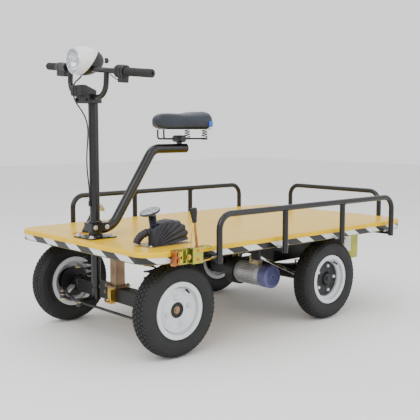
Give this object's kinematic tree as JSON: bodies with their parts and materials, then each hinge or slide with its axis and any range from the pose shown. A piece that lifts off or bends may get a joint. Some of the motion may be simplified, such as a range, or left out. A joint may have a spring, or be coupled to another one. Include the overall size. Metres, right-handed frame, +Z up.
{
  "type": "electric platform truck",
  "caption": "Battery driven flat deck truck with striped edge, low side rails, central steering column, bicycle-type saddle and wheels on two axles.",
  "frame": {"origin": "on the ground, below the middle of the whole truck", "axes": "-Y to the front, +X to the driver's left, +Z up"},
  "size_m": [1.101, 1.6964, 1.244],
  "materials": {
    "yellow_enamel": "gloss enamel on pressed steel",
    "hazard_apron": "gloss enamel with light stripes",
    "frame_black": "satin powder coat",
    "rail_black": "satin powder coat",
    "zinc_olive": "yellow passivated zinc, dull",
    "zinc_yellow": "yellow passivated zinc",
    "zinc_bright": "bright zinc",
    "spring_black": "black enamel",
    "cast_black": "painted casting",
    "rod_steel": "dark zinc",
    "grip_rubber": "moulded grip",
    "switch_plastic": "moulded",
    "cable_plastic": "extruded sheath",
    "lamp_white": "gloss moulding",
    "lamp_lens": "clear moulded lens",
    "saddle_leather": "grained cover",
    "motor_aluminium": "cast, silver paint",
    "motor_cover": "blue grey enamel",
    "boot_rubber": "moulded bellows",
    "rim_white": "gloss enamel",
    "tyre": "rubber"
  },
  "bodies": {
    "chassis": {"battery_box": "frame_black", "brake_lever": "zinc_yellow", "brake_lever_bracket": "zinc_yellow", "brake_lever_grip": "grip_rubber", "chassis_frame": "frame_black", "column_base": "rail_black", "deck_apron": "hazard_apron", "deck_plate": "yellow_enamel", "front_axle_beam": "frame_black", "front_axle_post": "zinc_olive", "front_beam_strap": "zinc_yellow", "front_springs": "spring_black", "leaf_springs": "spring_black", "motor": "motor_aluminium", "motor_fan_cover": "motor_cover", "pedal_boots": "boot_rubber", "pedal_flange": "frame_black", "pedal_pad": "boot_rubber", "pedal_plate": "zinc_olive", "radius_rods": "zinc_bright", "rear_axle": "cast_black", "rear_box": "zinc_yellow", "rear_rail": "rail_black", "saddle": "saddle_leather", "saddle_frame": "spring_black", "saddle_springs": "spring_black", "seat_collar": "rail_black", "seat_tube": "rail_black", "side_rails": "rail_black", "spring_hangers": "frame_black"},
    "steering": {"steering_column": "rail_black", "handlebar_clamp": "frame_black", "handlebar": "rail_black", "grips": "grip_rubber", "control_perches": "switch_plastic", "control_cables": "cable_plastic", "control_console": "switch_plastic", "headlamp_shell": "lamp_white", "headlamp_foot": "switch_plastic", "headlamp_lens": "lamp_lens", "ignition_key": "switch_plastic"},
    "knuckle_left": {"knuckle_left": "cast_black"},
    "knuckle_right": {"knuckle_right": "cast_black"},
    "tie_rod": {"tie_rod": "rod_steel"},
    "drag_link": {"drag_link": "rod_steel"},
    "wheel_front_left": {"tyre_front_left": "tyre", "rim_front_left": "rim_white", "hub_front_left": "cast_black"},
    "wheel_front_right": {"tyre_front_right": "tyre", "rim_front_right": "rim_white", "hub_front_right": "cast_black"},
    "wheel_rear_left": {"tyre_rear_left": "tyre", "rim_rear_left": "rim_white", "hub_rear_left": "cast_black"},
    "wheel_rear_right": {"tyre_rear_right": "tyre", "rim_rear_right": "rim_white", "hub_rear_right": "cast_black"}
  },
  "joints": [
    {"name": "steering_turn", "type": "hinge", "parent": "chassis", "child": "steering", "pos_m": [0, -0.74425, 0.3], "axis": [0, 0, 1], "range_deg": [-30, 30]},
    {"name": "knuckle_left_turn", "type": "hinge", "parent": "chassis", "child": "knuckle_left", "pos_m": [0.32, -0.63325, 0.192], "axis": [0, 0, 1], "range_deg": [-30, 30]},
    {"name": "knuckle_right_turn", "type": "hinge", "parent": "chassis", "child": "knuckle_right", "pos_m": [-0.32, -0.63325, 0.192], "axis": [0, 0, 1], "range_deg": [-30, 30]},
    {"name": "tie_rod_swing", "type": "hinge", "parent": "knuckle_left", "child": "tie_rod", "pos_m": [0.32, -0.71825, 0.137], "axis": [0, 0, 1], "range_deg": [-30, 30]},
    {"name": "drag_link_swing", "type": "hinge", "parent": "steering", "child": "drag_link", "pos_m": [0, -0.82925, 0.173], "axis": [0, 0, 1], "range_deg": [-30, 30]},
    {"name": "wheel_front_left_spin", "type": "hinge", "parent": "knuckle_left", "child": "wheel_front_left", "pos_m": [0.393, -0.63325, 0.192], "axis": [1, 0, 0], "continuous": true},
    {"name": "wheel_rear_left_spin", "type": "hinge", "parent": "chassis", "child": "wheel_rear_left", "pos_m": [0.393, 0.29675, 0.192], "axis": [1, 0, 0], "continuous": true},
    {"name": "wheel_front_right_spin", "type": "hinge", "parent": "knuckle_right", "child": "wheel_front_right", "pos_m": [-0.393, -0.63325, 0.192], "axis": [1, 0, 0], "continuous": true},
    {"name": "wheel_rear_right_spin", "type": "hinge", "parent": "chassis", "child": "wheel_rear_right", "pos_m": [-0.393, 0.29675, 0.192], "axis": [1, 0, 0], "continuous": true}
  ],
  "couplings": [
    {"joint": "knuckle_left_turn", "follows": "steering_turn", "ratio": 1},
    {"joint": "knuckle_right_turn", "follows": "steering_turn", "ratio": 1},
    {"joint": "tie_rod_swing", "follows": "steering_turn", "ratio": -1},
    {"joint": "drag_link_swing", "follows": "steering_turn", "ratio": -1}
  ]
}
